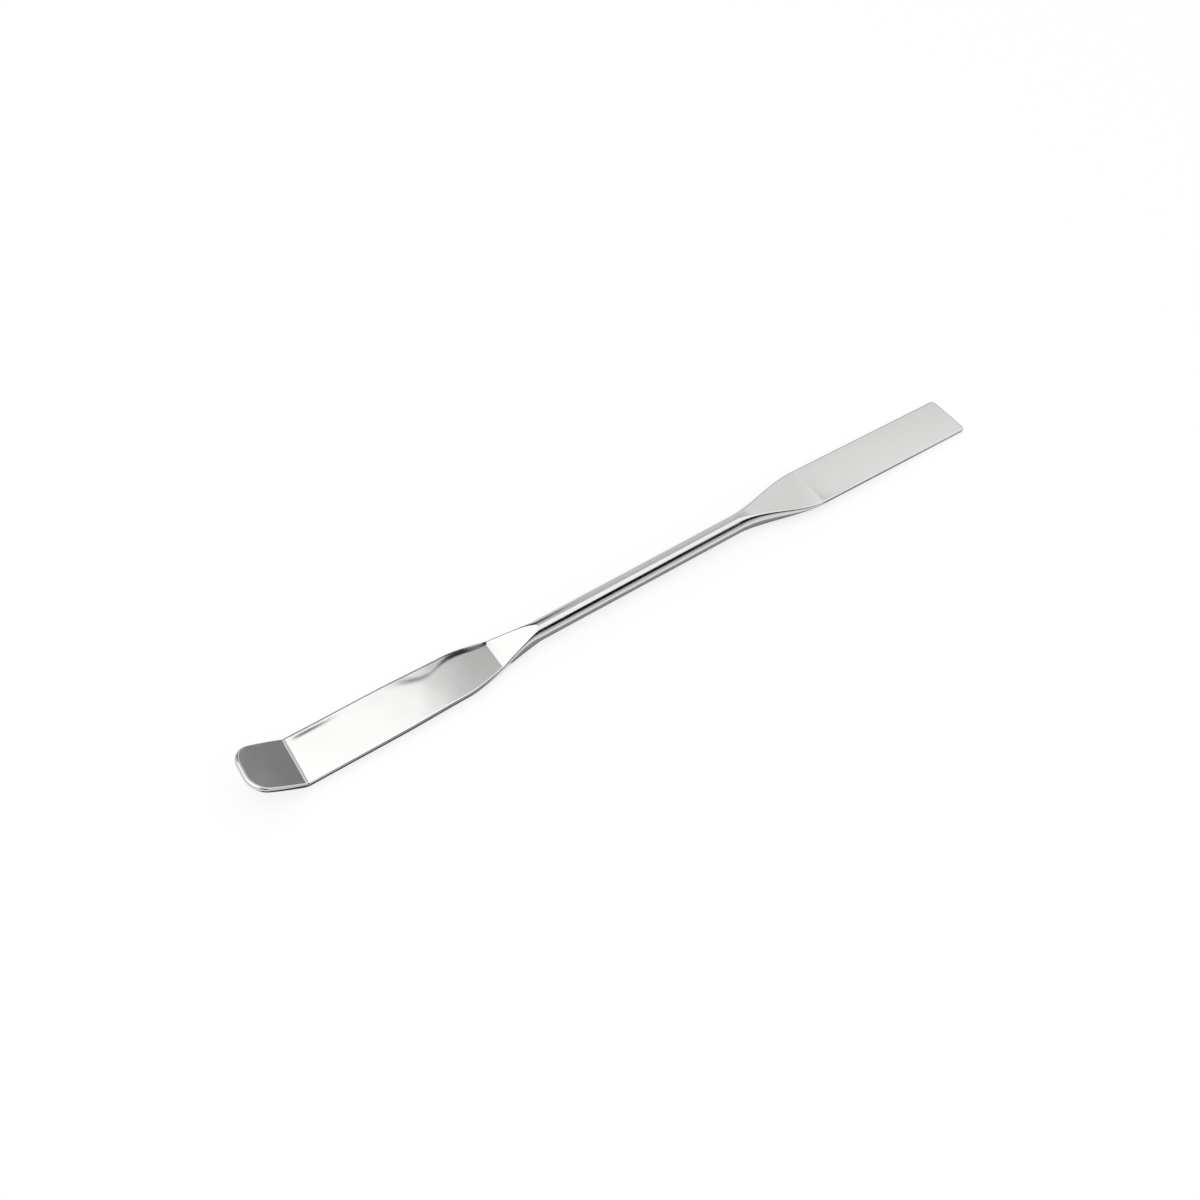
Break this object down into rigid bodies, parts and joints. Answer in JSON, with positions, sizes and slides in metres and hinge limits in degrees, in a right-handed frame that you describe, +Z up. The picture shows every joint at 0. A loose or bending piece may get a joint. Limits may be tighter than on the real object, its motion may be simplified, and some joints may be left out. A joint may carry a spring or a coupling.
{
  "type": "double-ended laboratory spatula",
  "caption": "Double-ended laboratory spatula: round steel rod pressed into a flat square-ended blade at one end and a blade with an upturned rounded tip at the other.",
  "frame": {"origin": "middle of the bounding box, on the surface that the spatula lies on", "axes": "+X along the length from the upturned tip to the square end, +Y across the blades, +Z up out of the blades' working faces"},
  "size_m": [0.15, 0.0098, 0.0067],
  "materials": {
    "steel": "polished stainless steel, fine lengthwise satin grain"
  },
  "bodies": {
    "root": {"spatula": "steel"}
  },
  "joints": []
}
